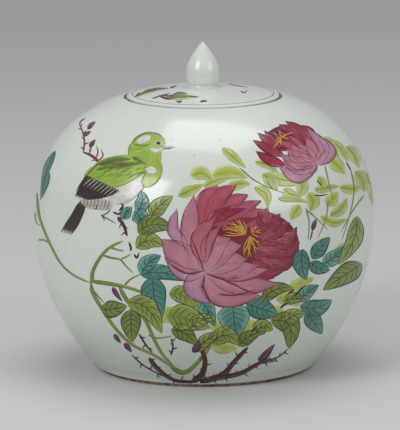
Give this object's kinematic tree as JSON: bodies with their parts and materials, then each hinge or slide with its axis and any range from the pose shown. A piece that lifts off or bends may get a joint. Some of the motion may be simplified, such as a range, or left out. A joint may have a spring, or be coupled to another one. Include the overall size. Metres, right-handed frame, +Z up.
{
  "type": "covered jar",
  "caption": "Round covered porcelain jar with a wide globular body, a flanged lid that lifts off and a bud finial.",
  "frame": {"origin": "centre of the foot ring's resting face, on the plane that the jar stands on", "axes": "+Z up along the jar's turning axis, -Y towards the painted front"},
  "size_m": [0.29, 0.29, 0.2789],
  "materials": {
    "glaze": "gloss"
  },
  "bodies": {
    "jar": {"jar_body": "glaze"},
    "cover": {"lid": "glaze", "lid_finial": "glaze"}
  },
  "joints": [
    {"name": "lid_lift", "type": "slide", "parent": "jar", "child": "cover", "axis": [0, 0, 1], "range_m": [0, 0.12]}
  ]
}
